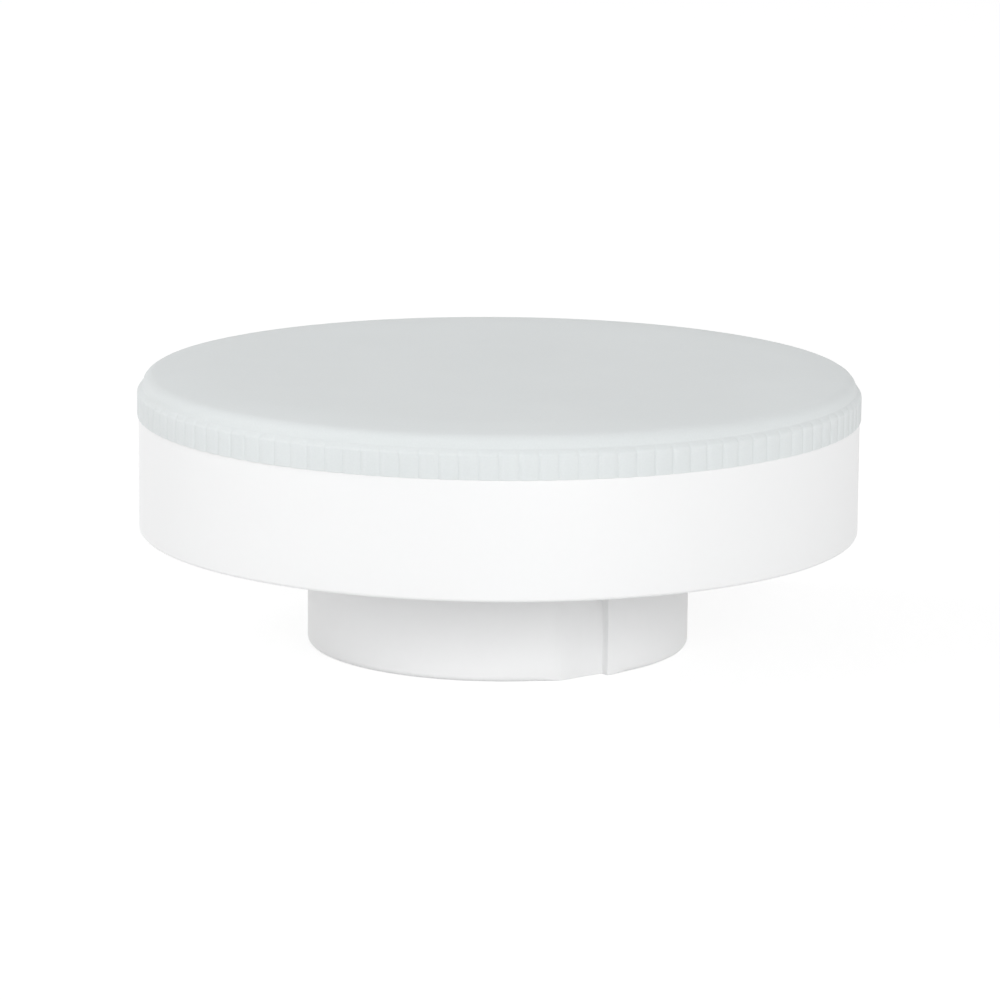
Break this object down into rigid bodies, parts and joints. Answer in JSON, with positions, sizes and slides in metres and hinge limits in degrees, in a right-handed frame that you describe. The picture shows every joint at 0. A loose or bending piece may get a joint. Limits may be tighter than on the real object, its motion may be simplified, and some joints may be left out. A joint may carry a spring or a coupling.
{
  "type": "led disc lamp",
  "caption": "Flat round LED lamp with a ribbed milky cover, white body, keyed central stub and a pair of mushroom contact pins.",
  "frame": {"origin": "centre of the stub's end face, on which the lamp stands", "axes": "+Z from the stub towards the milky cover, -Y towards the visible key recess, contact pins on the X axis"},
  "size_m": [0.075, 0.075, 0.0288],
  "materials": {
    "cover_milky": "satin, milky, slightly translucent",
    "body_white": "fine satin moulding",
    "contact_metal": "nickel plated, turned",
    "spreader_aluminium": "pressed sheet, satin",
    "light_board_white": "white solder mask on aluminium",
    "package_white": "moulded",
    "phosphor_yellow": "cast silicone",
    "screw_steel": "zinc plated",
    "circuit_green": "solder mask",
    "package_black": "moulded epoxy",
    "resistor_green": "cement coated",
    "can_dark": "sleeved can",
    "ferrite_grey": "sintered",
    "winding_copper": "enamelled wire",
    "ceramic_chip": "sintered, tinned ends",
    "lead_white": "insulation",
    "lead_red": "insulation",
    "lead_black": "insulation"
  },
  "bodies": {
    "root": {"diffuser": "cover_milky", "housing": "body_white", "contact_pin_left": "contact_metal", "contact_pin_right": "contact_metal", "heat_spreader": "spreader_aluminium", "led_board": "light_board_white", "led_packages": "package_white", "led_phosphor": "phosphor_yellow", "board_screws": "screw_steel", "driver_board": "circuit_green", "bridge_rectifier": "package_black", "driver_chip": "package_black", "freewheel_diode": "package_black", "fusible_resistor": "resistor_green", "bulk_capacitor": "can_dark", "output_capacitor": "can_dark", "choke_core": "ferrite_grey", "choke_winding": "winding_copper", "chip_components": "ceramic_chip", "pin_lead_left": "lead_white", "pin_lead_right": "lead_white", "output_lead_positive": "lead_red", "output_lead_negative": "lead_black"}
  },
  "joints": []
}
